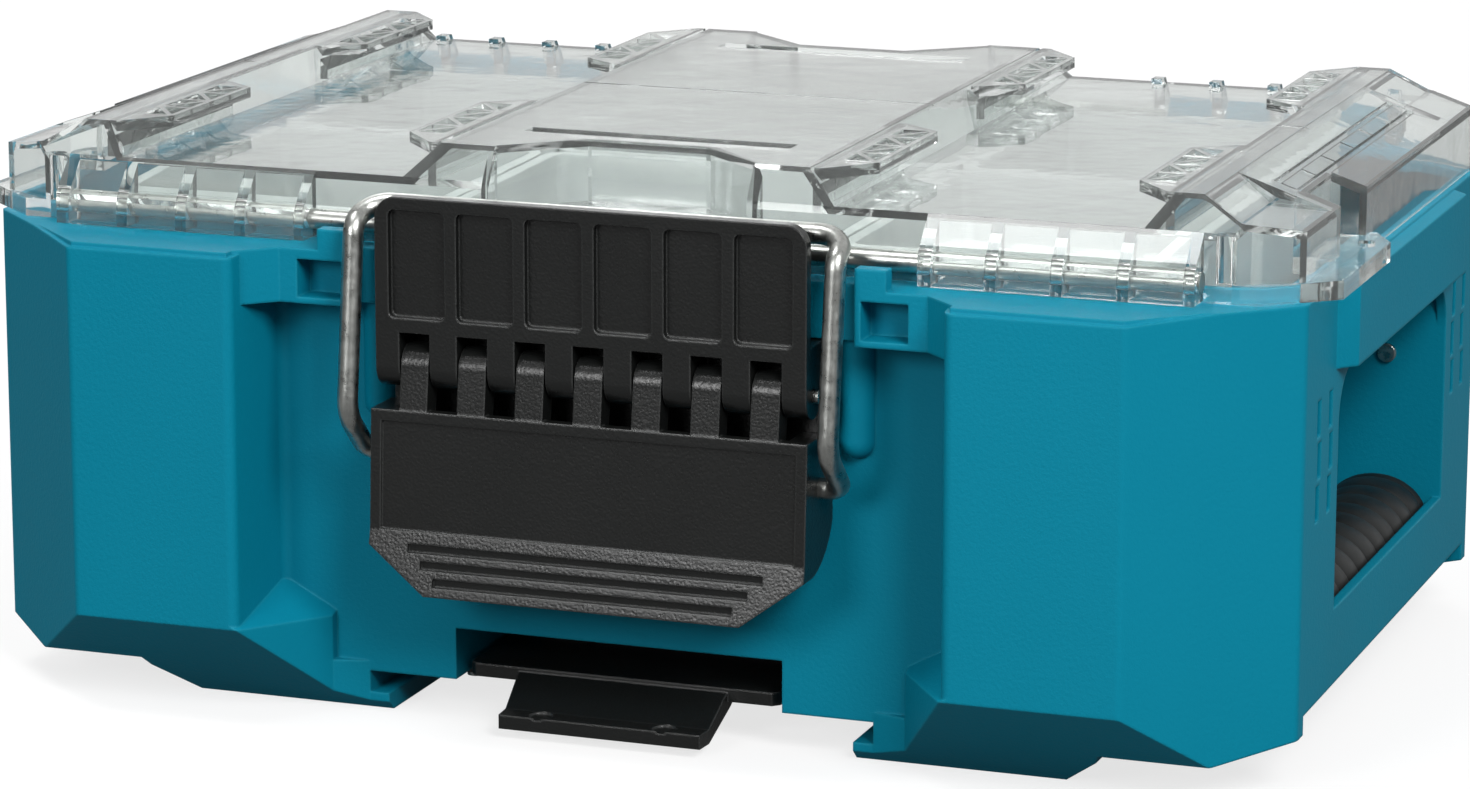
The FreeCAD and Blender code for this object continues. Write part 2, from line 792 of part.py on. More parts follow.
def make_case_body():
    shell = plan_prism(case_outline(0), base_z, rim_z)
    uprights = [edge for edge in shell.Edges if edge.BoundBox.ZLength > rim_z - base_z - wall
                and abs(edge.BoundBox.YMin) > half_depth - chamfer_deep - wall]
    shell = shell.makeFillet(pillar_round, uprights)
    shell = joined([shell] + four_ways(foot() + [front_apron()]))
    shell = shell.cut(left_right([side_rise()]))
    for wedge in (nose_cut(), shelf_cut()):
        shell = shell.cut(wedge).cut(flip_y(wedge))
    inside = plan_prism(case_outline(wall), base_z + floor_wall, rim_z + overrun)
    nose_skin = nose_cut()
    nose_skin.translate(Vec(0, wall, wall))
    inside = inside.cut(nose_skin).cut(flip_y(nose_skin))
    side_skin = side_rise()
    side_skin.translate(Vec(0, 0, floor_wall))
    inside = inside.cut(left_right([pocket_shell(), rebate_cover(), side_skin]) + [lock_housing()])
    shell = shell.cut(inside)
    added = [rim_band(), rim_frame(), rim_lip()]
    added += left_right([front_tab(), front_column(), side_beam()])
    added += left_right([case_knuckle(x0, x1) for x0, x1 in knuckle_places()])
    added += four_ways([bar_y(pin_x, pin_z, pin_boss_radius, -pocket_half - pin_long, -pocket_half)])
    shell = joined([shell] + added)
    square = box(square_inner_x, square_outer_x, at_front(band_in - overrun), at_front(band_in + square_deep),
                 square_low_z, square_high_z)
    cuts = left_right([square, pocket_space(), side_rebate()] + side_slots())
    cuts += four_ways([bar_y(pin_x, pin_z, pin_radius + fit_gap, -pocket_half - pin_long - overrun,
                             -pocket_half + overrun)])
    cuts.append(lock_space())
    cuts.append(bar_x(at_back(hinge_in), rod_z, rod_radius + fit_gap, -half_width, half_width))
    cuts += [lock_screw(lock_screw_radius + fit_gap, lock_screw_head_radius, x, y)
             for x, y in lock_screw_places()]
    cuts += [plate_screw(plate_screw_radius + fit_gap, plate_screw_head_radius, x, z)
             for x, z in plate_screw_places()]
    return shell.cut(cuts)


def lid_outline(inset):
    """Plan of the lid's walls, moved inwards by inset."""
    turn = math.atan2(lid_side_in - lid_front_in, lid_side_x - lid_corner_x)
    front_shift = inset * math.tan(turn / 2)
    side_shift = inset * math.tan((math.pi / 2 - turn) / 2)
    quarter = [(lid_corner_x - front_shift, at_front(lid_front_in + inset)),
               (lid_side_x - inset, at_front(lid_side_in + side_shift))]
    right = quarter + [(x, -y) for x, y in reversed(quarter)]
    return right + [(-x, -y) for x, y in right]


def lid_mass(skin):
    """The lid as a filled shape, moved inwards by skin on every side."""
    low = lid_low_z if skin == 0 else lid_low_z - overrun
    base = plan_prism(lid_outline(skin), low, deck_z - skin)
    notch = box(lid_side_x - side_notch_deep - skin, lid_side_x + overrun, at_front(side_notch_in - skin),
                at_front(side_notch_end_in + skin), low - overrun, crest_z + overrun)
    base = base.cut(notch).cut(flip_x(notch))
    fall = (crest_z - deck_z) / (lid_side_x - rail_out_top_x)
    rail = [(rail_in_base_x + skin, low), (rail_in_base_x + skin, deck_z - skin),
            (rail_in_top_x + skin, crest_z - skin), (rail_out_top_x - skin * fall, crest_z - skin),
            (lid_side_x - skin, deck_z - skin), (lid_side_x - skin, low)]
    rail_run = front_prism(rail, at_front(lid_front_in + skin), at_back(lid_front_in + skin))
    rail_run = rail_run.common(plan_prism(lid_outline(skin), low, crest_z))
    block = [(-block_base_x + skin, low), (-block_base_x + skin, deck_z - skin),
             (-block_top_x + skin, crest_z - skin), (block_top_x - skin, crest_z - skin),
             (block_base_x - skin, deck_z - skin), (block_base_x - skin, low)]
    block_run = front_prism(block, at_front(lid_front_in + skin), at_back(lid_front_in + skin))
    rail_run = rail_run.cut([notch, rail_dip(skin), flip_y(rail_dip(skin))])
    mass = joined([base, rail_run, flip_x(rail_run), block_run])
    for cut in (end_slope(skin), flip_y(end_slope(skin))):
        mass = mass.cut(cut)
    return mass


def slope_height(x):
    """Height of a rail's outer slope at x."""
    fall = (crest_z - deck_z) / (lid_side_x - rail_out_top_x)
    return crest_z - (x - rail_out_top_x) * fall


def rail_dip(skin):
    """Hollow in the front end of a rail's outer slope, moved inwards by skin."""
    points = [(rail_out_top_x, crest_z - skin), (rail_dip_x, rail_dip_z - skin), (lid_side_x, deck_z - skin),
              (lid_side_x, crest_z + overrun), (rail_out_top_x, crest_z + overrun)]
    return front_prism(points, at_front(-overrun), at_front(rail_dip_end_in + skin))


def end_slope(skin):
    """Wedge that slopes the front ends of the rails and block back from the deck's edge."""
    rise = (crest_z - deck_z) / (slope_in - lid_front_in)
    start = lid_front_in + skin
    run = slope_in - lid_front_in + overrun
    low = deck_z - skin
    points = [(at_front(start), low), (at_front(start + run), low + run * rise),
              (at_front(-overrun), low + run * rise), (at_front(-overrun), low)]
    return side_prism(points, -half_width - overrun, half_width + overrun)


def block_notch(skin):
    """Notch in the front of the centre block, grown by skin for the space under it."""
    mouth = notch_mouth_x + skin
    root = notch_root_x + skin
    right = [(root, at_front(notch_in + skin)), (mouth, at_front(notch_mouth_in)),
             (mouth, at_front(-overrun))]
    points = right + [(-x, y) for x, y in reversed(right)]
    return plan_prism(points, notch_floor_z - skin, crest_z + overrun)


def hook(root_x, tip_x):
    """One stacking hook: a plate lightened by triangular pockets, and its ribs below."""
    low = crest_z - hook_thick
    outline = [(root_x, at_front(hook_root_front_in)), (tip_x, at_front(hook_tip_front_in)),
               (tip_x, at_front(hook_tip_back_in)), (root_x, at_front(hook_root_back_in))]
    plate = plan_prism(outline, low, crest_z)
    inwards = 1 if root_x > tip_x else -1
    wall_side = root_x + inwards * lid_skin
    back_wall = box(min(root_x, wall_side), max(root_x, wall_side), at_front(hook_root_front_in),
                    at_front(hook_root_back_in), deck_z - lid_skin, crest_z)
    cell = (hook_tip_back_in - hook_tip_front_in) / hook_pocket_count
    near = root_x - inwards * hook_pocket_web
    far = tip_x + inwards * hook_pocket_web
    pockets = []
    for index in range(hook_pocket_count):
        y0 = at_front(hook_tip_front_in + index * cell + hook_pocket_web / 2)
        y1 = y0 + cell - hook_pocket_web
        start, end = (near, far) if index % 2 else (far, near)
        slant = math.hypot(end - start, y1 - y0)
        step_x = hook_pocket_web / 2 * slant / (y1 - y0) * (1 if end > start else -1)
        step_y = hook_pocket_web / 2 * slant / abs(end - start)
        for corners in ([(start + step_x, y0), (end, y0), (end, y1 - step_y)],
                        [(start, y0 + step_y), (start, y1), (end - step_x, y1)]):
            pockets.append(plan_prism(corners, crest_z - hook_pocket_deep, crest_z + overrun))
    middle = (tip_x + root_x) / 2
    ribs = []
    rib_step = (hook_tip_back_in - hook_tip_front_in) / hook_rib_count
    for index in range(hook_rib_count):
        y = at_front(hook_tip_front_in + (index + 1 / 2) * rib_step)
        ribs.append(front_prism([(root_x, low), (middle, low), (root_x, (low + deck_z) / 2)],
                                y - hook_rib_thick / 2, y + hook_rib_thick / 2))
    return joined([plate.cut(pockets), back_wall] + ribs)


def corner_flange():
    """Flange round a front corner of the lid, under the side notch, with a hole in its tail."""
    wall_x = lid_side_x - lid_skin
    points = [(lid_corner_x, at_front(lid_front_in)), (flange_front_x, at_front(lid_front_in)),
              (flange_x, at_front(flange_corner_in)), (flange_x, at_front(flange_back_in)),
              (flange_tail_x, at_front(flange_end_in)), (wall_x, at_front(flange_end_in)),
              (wall_x, at_front(side_notch_end_in)), (wall_x - side_notch_deep, at_front(side_notch_end_in)),
              (wall_x - side_notch_deep, at_front(side_notch_in)), (wall_x, at_front(side_notch_in)),
              (wall_x, at_front(lid_side_in))]
    plate = plan_prism(points, lid_low_z, lid_low_z + flange_thick)
    return plate.cut(bar_z(flange_hole_x, at_front(flange_hole_in), flange_hole_radius, lid_low_z - overrun,
                           lid_low_z + flange_thick + overrun))


def tunnel_section(skin):
    """Section of the tunnel along the lid's front edge, moved inwards by skin."""
    return [(at_front(lid_front_in), deck_z - skin), (at_front(tunnel_top_in + skin), tunnel_top_z - skin),
            (at_front(tunnel_front_in + skin), tunnel_shoulder_z - skin),
            (at_front(tunnel_front_in + skin), tunnel_low_z if skin == 0 else tunnel_low_z - overrun),
            (at_front(lid_front_in), tunnel_low_z if skin == 0 else tunnel_low_z - overrun)]


def rod_tunnel():
    """Clear tunnel for the front rod, with the ribs that carry it."""
    skin = side_prism(tunnel_section(0), tunnel_first_x, tunnel_last_x)
    bore = side_prism(tunnel_section(tunnel_skin), tunnel_first_x - overrun, tunnel_last_x + overrun)
    skin = skin.cut(bore)
    ribs = [side_prism(tunnel_section(0), x - tunnel_rib_thick / 2, x + tunnel_rib_thick / 2)
            for x in tunnel_rib_places()]
    return joined([skin] + ribs)


def corner_post():
    """Post that hangs inside a front corner of the lid, over the case's lip."""
    low = rim_z + lip_tall + corner_post_gap
    y = at_front(lid_front_in + lid_skin + corner_post_radius / 2)
    return bar_z(corner_post_x, y, corner_post_radius, low, deck_z - lid_skin / 2)


def hinge_ribs():
    """Knuckles of the lid round the hinge rod."""
    y = at_back(hinge_in)
    wall_y = at_back(lid_front_in)
    bump_y = wall_y - hinge_bump_run
    bump_z = deck_z + hinge_bump
    ribs = []
    for x in tunnel_rib_places():
        x0 = x - tunnel_rib_thick / 2
        x1 = x + tunnel_rib_thick / 2
        arm = side_prism([(wall_y, rod_z - knuckle_radius), (y, rod_z - knuckle_radius),
                          (y, rod_z + knuckle_radius), (wall_y, bump_z), (bump_y, bump_z), (bump_y, deck_z)],
                         x0, x1)
        ribs.append(joined([arm, bar_x(y, rod_z, knuckle_radius, x0, x1)]))
    return ribs


def sunk_line(x0, x1, y0, y1):
    """Cut along a rail's outer slope from x0 to x1, as deep as the ladder everywhere."""
    points = [(x0, slope_height(x0) - ladder_deep), (x1, slope_height(x1) - ladder_deep),
              (x1, crest_z + overrun), (x0, crest_z + overrun)]
    return front_prism(points, y0, y1)


def rail_ladder():
    """Two grooves along a rail's outer slope, with rungs across."""
    side = ladder_groove_wide / 2
    rung = ladder_rung_wide / 2
    lines = [sunk_line(x - side, x + side, -ladder_half, ladder_half) for x in (ladder_in_x, ladder_out_x)]
    return lines + [sunk_line(ladder_in_x, ladder_out_x, y - rung, y + rung)
                    for y in spread(ladder_cell_count + 1, ladder_half - rung)]


def make_lid_shell():
    space = lid_mass(lid_skin)
    for notch in (block_notch(lid_skin), flip_y(block_notch(lid_skin))):
        space = space.cut(notch)
    shell = lid_mass(0).cut([block_notch(0), flip_y(block_notch(0))]).cut(space)
    added = four_ways([hook(block_hook_root_x, block_hook_tip_x), hook(rail_hook_root_x, rail_hook_tip_x)])
    added += left_right([corner_flange(), rod_tunnel(), corner_post()] + hinge_ribs())
    shell = joined([shell] + added)
    seam = box(-lid_side_x, lid_side_x, -seam_wide / 2, seam_wide / 2, crest_z - seam_deep, crest_z + overrun)
    groove = box(-groove_half, groove_half, at_front(groove_near_in), at_front(groove_near_in + groove_wide),
                 crest_z - groove_deep, crest_z + overrun)
    cuts = [seam, groove, flip_y(groove)] + left_right(rail_ladder())
    cuts.append(bar_x(at_front(rod_in), rod_z, rod_radius + fit_gap, -rod_half - fit_gap, rod_half + fit_gap))
    cuts.append(bar_x(at_back(hinge_in), rod_z, rod_radius + fit_gap, -half_width, half_width))
    return shell.cut(cuts)


def latch_web_in():
    """Depth of the web that closes the back of the latch's knuckles."""
    return latch_pin_in + latch_barrel_radius + rest_gap


def flap_knuckle_places():
    """Middles of the flap's knuckles."""
    return spread(flap_knuckle_count, latch_half - flap_knuckle_edge - flap_knuckle_wide / 2)


def knuckle_slots():
    """Slots between the plate's knuckles, from the front back to the web."""
    low = latch_pin_z - latch_barrel_radius - overrun
    half = knuckle_slot_wide / 2
    return [box(x - half, x + half, at_front(-overrun), at_front(latch_web_in()), low, knuckle_slot_z)
            for x in flap_knuckle_places()]


def make_latch_base():
    """Fixed latch plate with recessed panels, hinge knuckles, and the block that seats on the rim band."""
    front = at_front(plate_front_in)
    back = at_front(plate_front_in + plate_thick)
    plate = box(-latch_half, latch_half, front, back, latch_pin_z, plate_top_z)
    corners = [edge for edge in plate.Edges if edge.BoundBox.YLength > plate_thick / 2
               and edge.BoundBox.ZMin > latch_pin_z + overrun]
    plate = plate.makeFillet(plate_round, corners)
    panel_pitch = (2 * (latch_half - panel_edge) + panel_web) / panel_count
    panel_wide = panel_pitch - panel_web
    panels = []
    for x in repeat(panel_count, panel_pitch):
        panel = box(x - panel_wide / 2, x + panel_wide / 2, front - overrun, front + panel_deep,
                    panel_low_z, panel_high_z)
        upright = [edge for edge in panel.Edges if edge.BoundBox.YLength > panel_deep]
        panels.append(panel.makeFillet(panel_round, upright))
    pin_y = at_front(latch_pin_in)
    barrel = bar_x(pin_y, latch_pin_z, latch_barrel_radius, -latch_half, latch_half)
    web_front = at_front(latch_web_in())
    web_back = web_front + latch_web_thick
    neck = box(-latch_half, latch_half, front, web_back, latch_pin_z, panel_low_z)
    web = box(-latch_half, latch_half, web_front, web_back, latch_web_low_z, panel_low_z)
    block_front = back - (plate_thick - panel_deep) / 2
    block = box(-plate_block_half, plate_block_half, block_front, at_front(bail_slot_in),
                plate_block_low_z, plate_block_high_z)
    body = joined([plate.cut(panels), barrel, neck, web, block])
    cuts = knuckle_slots()
    cuts.append(bar_x(pin_y, latch_pin_z, latch_pin_radius + fit_gap, -latch_pin_half, latch_pin_half))
    cuts += [plate_screw(plate_screw_radius + fit_gap, plate_screw_head_radius, x, z)
             for x, z in plate_screw_places()]
    return body.cut(cuts)


def flap_outline(border, top_z):
    """Front view of the flap up to top_z, its sides and bottom moved inwards by border."""
    right = [(flap_bottom_half - border, flap_bottom_z + border), (flap_half - border, flap_side_z),
             (flap_half - border, top_z)]
    return right + [(-x, z) for x, z in reversed(right)]


def make_latch_flap():
    """Pull flap: a hollow shell with a flared lip, side walls for the bail, and hinge knuckles."""
    front_line = [(at_front(flap_top_in), flap_shoulder_z), (at_front(flap_field_low_in), flap_field_low_z),
                  (at_front(flap_bottom_in), flap_bottom_z)]
    skin_line = [(y + flap_skin, z) for y, z in reversed(front_line)]
    side = [(at_front(cheek_toe_in), flap_side_z), skin_line[0]] + front_line[::-1]
    side += [(at_front(cheek_neck_in), flap_shoulder_z), (at_front(cheek_neck_in), cheek_neck_z),
             (at_front(cheek_heel_in), cheek_heel_top_z), (at_front(cheek_heel_in), cheek_heel_low_z)]
    ahead = at_front(flap_bottom_in - overrun)
    behind = at_front(recess_in)
    top_z = flap_shoulder_z + overrun
    shell = arc_prism([Vec(-flap_half, y, z) for y, z in side],
                      Vec(-flap_half, at_front(cheek_curve_in), cheek_curve_z), Vec(2 * flap_half, 0, 0))
    shell = shell.common(front_prism(flap_outline(0, top_z), ahead, behind))
    hollow = side_prism(skin_line + [(skin_line[-1][0], top_z), (behind, top_z), (behind, flap_bottom_z)],
                        -flap_half, flap_half)
    shell = shell.cut(hollow.common(front_prism(flap_outline(cheek_thick, top_z), ahead, behind)))
    border_x = flap_half - flap_border
    field = box(-border_x, border_x, ahead, behind, flap_field_low_z, flap_shoulder_z - flap_border)
    sunk = side_prism([(ahead, flap_shoulder_z), (ahead, flap_bottom_z)]
                      + [(y + flap_field_deep, z) for y, z in reversed(front_line)], -flap_half, flap_half)
    shell = shell.cut(field.common(sunk))
    lean = (flap_field_low_in - flap_bottom_in) / (flap_field_low_z - flap_bottom_z)
    grooves = []
    for index in range(flap_groove_count):
        z1 = flap_field_low_z - flap_groove_first - index * flap_groove_pitch
        z0 = z1 - flap_groove_wide
        y = at_front(flap_field_low_in) - (flap_field_low_z - (z0 + z1) / 2) * lean
        half = flap_groove_half - index * flap_groove_taper
        grooves.append(box(-half, half, y - overrun, y + flap_groove_deep, z0, z1))
    shell = shell.cut(grooves)
    pin_y = at_front(latch_pin_in)
    root_z = flap_shoulder_z - wall
    knuckles = []
    for x in flap_knuckle_places():
        x0 = x - flap_knuckle_wide / 2
        x1 = x + flap_knuckle_wide / 2
        knuckles.append(bar_x(pin_y, latch_pin_z, latch_barrel_radius, x0, x1))
        web = [(at_front(flap_top_in), root_z), (pin_y - latch_barrel_radius, latch_pin_z),
               (pin_y, latch_pin_z), (pin_y, latch_pin_z - latch_barrel_radius),
               (at_front(flap_top_in + flap_skin + wall), root_z)]
        knuckles.append(side_prism(web, x0, x1))
    body = joined([shell] + knuckles)
    holes = [bar_x(pin_y, latch_pin_z, latch_pin_radius + fit_gap, -flap_half, flap_half),
             bar_x(at_front(bail_pivot_in), bail_pivot_z, bail_radius + fit_gap, -flap_half - overrun,
                   flap_half + overrun)]
    return body.cut(holes)


def make_latch_bail():
    """Wire bail: ends in the flap's cheeks, bellied legs and a crossbar ahead of the lid's rod."""
    end_x = flap_half - cheek_thick
    half = [Vec(end_x, at_front(bail_pivot_in), bail_pivot_z),
            Vec(bail_leg_x, at_front(bail_pivot_in), bail_pivot_z),
            Vec(bail_leg_x, at_front(bail_belly_in), bail_belly_z),
            Vec(bail_leg_x, at_front(bail_shoulder_in), bail_shoulder_z),
            Vec(bail_leg_x, at_front(bail_bar_in), bail_bar_z)]
    rounds = [bail_foot_round, bail_belly_round, bail_shoulder_round, bail_bar_round]
    points = half + [Vec(-point.x, point.y, point.z) for point in reversed(half)]
    return bent_wire(points, rounds + rounds[::-1], bail_radius)


def make_stack_lock_slider():
    """Lock plate with a tongue that slopes down and forward, and a heel for its springs."""
    low = base_z + rest_gap
    high = low + slider_thick
    bevel = slider_thick / 2
    root = at_front(slider_front_in + bevel)
    right = [(slider_half - bevel, at_front(slider_front_in)), (slider_half, root),
             (slider_half, at_front(slider_back_in))]
    plate = plan_prism(right + [(-x, y) for x, y in reversed(right)], low, high)
    tip = at_front(tongue_tip_in)
    tip_top_z = tongue_tip_z + tongue_thick
    profile = [(root, high), (tip + tongue_lip, tip_top_z), (tip, tip_top_z), (tip, tongue_tip_z),
               (tip + tongue_lip, tongue_tip_z), (root + tongue_thick, low), (root + tongue_thick, high)]
    tongue = side_prism(profile, -tongue_root_half, tongue_root_half)
    edge = [(tongue_tip_half, tip), (tongue_root_half, root), (tongue_root_half, root + tongue_thick)]
    taper = plan_prism(edge + [(-x, y) for x, y in reversed(edge)], tongue_tip_z, high)
    heel = box(-slider_heel_half, slider_heel_half, at_front(slider_back_in - slider_heel_thick),
               at_front(slider_back_in), low, low + slider_heel_tall)
    body = joined([plate, tongue.common(taper), heel])
    dimples = [bar_z(x, tip + tongue_lip / 2, dimple_radius, tip_top_z - dimple_deep, high)
               for x in (-dimple_x, dimple_x)]
    return body.cut(dimples)


def make_stack_lock_retainer():
    """Plate screwed under the floor, which carries the slider."""
    plate = box(-retainer_half, retainer_half, at_front(retainer_front_in), at_front(lock_back_in),
                base_z - retainer_thick, base_z)
    return plate.cut([lock_screw(lock_screw_radius + fit_gap, lock_screw_head_radius, x, y)
                      for x, y in lock_screw_places()])


def make_spring(x):
    """One compression spring behind the slider's heel."""
    front = at_front(slider_back_in) + spring_wire
    back = at_front(lock_back_in) - spring_wire
    pitch = (back - front) / spring_turns
    helix = Part.makeHelix(pitch, back - front, spring_radius)
    section = Part.Wire(Part.Circle(Vec(spring_radius, 0, 0), Vec(0, 1, 0), spring_wire).toShape())
    spring = Part.Wire(helix).makePipeShell([section], True, True)
    turn = FreeCAD.Rotation(Vec(0, 0, 1), Vec(0, 1, 0))
    spring.Placement = FreeCAD.Placement(Vec(x, front, spring_z), turn)
    return spring


def make_grip():
    """Ribbed rubber barrel along the floor of a side pocket."""
    x0 = pocket_inner_x + seat_gap
    x1 = half_width - wall - seat_gap

    def arch(proud, y0, y1):
        left = Vec(x0 + grip_rib_proud - proud, y0, pocket_floor_z)
        right = Vec(x1 - grip_rib_proud + proud, y0, pocket_floor_z)
        top = Vec((x0 + x1) / 2, y0, grip_apex_z - grip_rib_proud + proud)
        edges = [Part.Arc(left, top, right).toShape(), Part.LineSegment(right, left).toShape()]
        return Part.Face(Part.Wire(edges)).extrude(Vec(0, y1 - y0, 0))

    half = pocket_half - seat_gap
    count = int(2 * half / grip_rib_pitch)
    ribs = [arch(grip_rib_proud, y - grip_rib_wide / 2, y + grip_rib_wide / 2)
            for y in repeat(count, grip_rib_pitch)]
    return joined([arch(0, -half, half)] + ribs)


def make_pocket_pin():
    """Headed steel pin in one end wall of a side pocket."""
    shank = bar_y(pin_x, pin_z, pin_radius, -pocket_half - pin_long, -pocket_half)
    head = bar_y(pin_x, pin_z, pin_head_radius, -pocket_half, -pocket_half + pin_head_thick)
    return joined([shank, head])


def bin_span():
    """Width and depth of the space that the bins share."""
    wide = 2 * (pocket_inner_x - wall - seat_gap)
    deep = 2 * at_back(recess_in + wall + plate_screw_head_thick + seat_gap)
    return wide, deep


def make_bin(column, row):
    """One lift-out bin: rounded corners, thin skin and a turned-out rim."""
    wide, deep = bin_span()
    middle = lock_housing_half() + bin_gap / 2
    edges = (-wide / 2, -middle, middle, wide / 2)
    x0 = edges[column] + bin_gap / 2
    x1 = edges[column + 1] - bin_gap / 2
    y0 = (row - 1) * deep / 2 + bin_gap / 2
    y1 = row * deep / 2 - bin_gap / 2
    over_lock = row == 0 and bin_columns[column] == "middle"
    low = lock_top_z + wall if over_lock else base_z + floor_wall

    def rounded(inset, z0, z1):
        block = box(x0 + inset, x1 - inset, y0 + inset, y1 - inset, z0, z1)
        uprights = [edge for edge in block.Edges if edge.BoundBox.ZLength > (z1 - z0) / 2]
        return block.makeFillet(bin_round - inset, uprights)

    shell = joined([rounded(bin_rim_wide, low, bin_top_z), rounded(0, bin_top_z - bin_rim_tall, bin_top_z)])
    inside = rounded(bin_rim_wide + bin_skin, low + bin_skin, bin_top_z + overrun)
    return shell.cut(inside)


pieces = {
    "case_body": make_case_body(),
    "lid_shell": make_lid_shell(),
    "lid_front_rod": bar_x(at_front(rod_in), rod_z, rod_radius, -rod_half, rod_half),
    "lid_hinge_rod": bar_x(at_back(hinge_in), rod_z, rod_radius, -rod_half, rod_half),
    "latch_base": make_latch_base(),
    "latch_base_screws": Part.makeCompound([plate_screw(plate_screw_radius, plate_screw_head_radius, x, z)
                                            for x, z in plate_screw_places()]),
    "latch_hinge_pin": bar_x(at_front(latch_pin_in), latch_pin_z, latch_pin_radius,
                             -latch_pin_half, latch_pin_half),
    "latch_flap": make_latch_flap(),
    "latch_bail": make_latch_bail(),
    "stack_lock_slider": make_stack_lock_slider(),
    "stack_lock_retainer": make_stack_lock_retainer(),
    "stack_lock_screws": Part.makeCompound([lock_screw(lock_screw_radius, lock_screw_head_radius, x, y)
                                            for x, y in lock_screw_places()]),
    "stack_lock_springs": Part.makeCompound([make_spring(-spring_x), make_spring(spring_x)]),
    "right_grip": make_grip(),
    "left_grip": flip_x(make_grip()),
    "right_pocket_pins": Part.makeCompound([make_pocket_pin(), flip_y(make_pocket_pin())]),
    "left_pocket_pins": Part.makeCompound([flip_x(make_pocket_pin()), flip_x(flip_y(make_pocket_pin()))]),
}
for row, row_name in enumerate(("front", "rear")):
    for column, column_name in enumerate(bin_columns):
        pieces[row_name + "_" + column_name + "_bin"] = make_bin(column, row)

for name, shape in pieces.items():
    shape.exportStep("parts/" + name + ".step")
    span = shape.BoundBox
    print(name, shape.isValid(), len(shape.Solids), round(shape.Volume), [round(v, 1) for v in (
        span.XMin, span.XMax, span.YMin, span.YMax, span.ZMin, span.ZMax)])
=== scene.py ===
import math

import bmesh
import bpy
import numpy as np
from mathutils import Matrix, Vector


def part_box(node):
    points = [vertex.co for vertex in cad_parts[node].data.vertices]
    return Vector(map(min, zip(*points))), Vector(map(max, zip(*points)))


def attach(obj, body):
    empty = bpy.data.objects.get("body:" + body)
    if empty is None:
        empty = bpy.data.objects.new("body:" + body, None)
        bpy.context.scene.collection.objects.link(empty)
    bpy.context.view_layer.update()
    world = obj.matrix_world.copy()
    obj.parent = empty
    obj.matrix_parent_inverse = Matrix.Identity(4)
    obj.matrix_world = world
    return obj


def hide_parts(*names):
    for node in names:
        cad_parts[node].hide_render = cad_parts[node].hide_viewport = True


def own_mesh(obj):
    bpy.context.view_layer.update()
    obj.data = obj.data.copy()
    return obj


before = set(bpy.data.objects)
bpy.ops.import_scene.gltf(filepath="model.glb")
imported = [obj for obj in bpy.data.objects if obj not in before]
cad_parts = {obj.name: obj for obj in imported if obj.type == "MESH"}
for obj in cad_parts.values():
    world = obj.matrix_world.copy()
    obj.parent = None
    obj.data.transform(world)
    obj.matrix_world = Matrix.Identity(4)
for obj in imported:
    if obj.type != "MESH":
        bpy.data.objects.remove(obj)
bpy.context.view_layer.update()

# Case body: one deep injection moulding in teal polypropylene, with a fine spark-eroded grain.
# The mould's draft and parting leave soft edges, with a painted highlight of lighter teal on them, and flow
# marks in the gloss.


class Value:
    """One shader socket. Arithmetic on it adds Math nodes, and node() adds any other node to its tree."""

    def __init__(self, tree, socket=None):
        self.tree = tree
        self.socket = socket

    def node(self, kind, settings=(), sockets=(), out=0):
        """Adds a node of this kind, applies its settings, then sets or links its sockets."""
        made = self.tree.nodes.new("ShaderNode" + kind)
        for name, setting in dict(settings).items():
            setattr(made, name, setting)
        for name, given in dict(sockets).items():
            self.feed(made.inputs[name], given)
        return Value(self.tree, made.outputs[out])

    def feed(self, target, given):
        """Links a Value to a socket, or sets the socket to a plain number or colour."""
        if isinstance(given, Value):
            self.tree.links.new(given.socket, target)
        else:
            target.default_value = given

    def math(self, operation, *terms):
        """The result of one Math node on these terms."""
        return self.node("Math", {"operation": operation}, dict(enumerate(terms)))

    def __add__(self, other):
        return self.math("ADD", self, other)

    def __sub__(self, other):
        return self.math("SUBTRACT", self, other)

    def __rsub__(self, other):
        return self.math("SUBTRACT", other, self)

    def __mul__(self, other):
        return self.math("MULTIPLY", self, other)

    def __gt__(self, other):
        return self.math("GREATER_THAN", self, other)

    __radd__ = __add__
    __rmul__ = __mul__

    def span(self, low, high, start=0.0, end=1.0):
        """The value carried from the range low to high over to start to end, and held there."""
        sockets = {"Value": self, "From Min": low, "From Max": high, "To Min": start, "To Max": end}
        return self.node("MapRange", {"clamp": True}, sockets)

    def blend(self, first, second):
        """Colour that goes from first to second as this value goes from 0 to 1."""
        return self.node("Mix", {"data_type": "RGBA"}, {0: self, 6: first, 7: second}, 2)

    def stretched(self, x, y, z):
        """This vector with each of its parts scaled."""
        return self.node("Mapping", {}, {"Vector": self, "Scale": (x, y, z)})

    def noise(self, scale, detail=2.0, rough=0.5):
        """Soft random values about 0.5 at this place, with this many waves to the metre."""
        sockets = {"Vector": self, "Scale": scale, "Detail": detail, "Roughness": rough}
        return self.node("TexNoise", {}, sockets)

    def spread(self, start=0.0, end=1.0):
        """A noise, which mostly lies between 0.3 and 0.7, carried over to start to end."""
        return self.span(0.3, 0.7, start, end)


def new_finish(name):
    """A material with one Principled shader, a feed for its sockets, and the place on the object."""
    material = bpy.data.materials.new(name)
    material.use_nodes = True
    shader = material.node_tree.nodes["Principled BSDF"]
    place = Value(material.node_tree).node("TexCoord", out="Object")

    def set_shader(**sockets):
        for key, given in sockets.items():
            place.feed(shader.inputs[key.replace("_", " ").title().replace("Ior", "IOR")], given)

    return material, set_shader, place


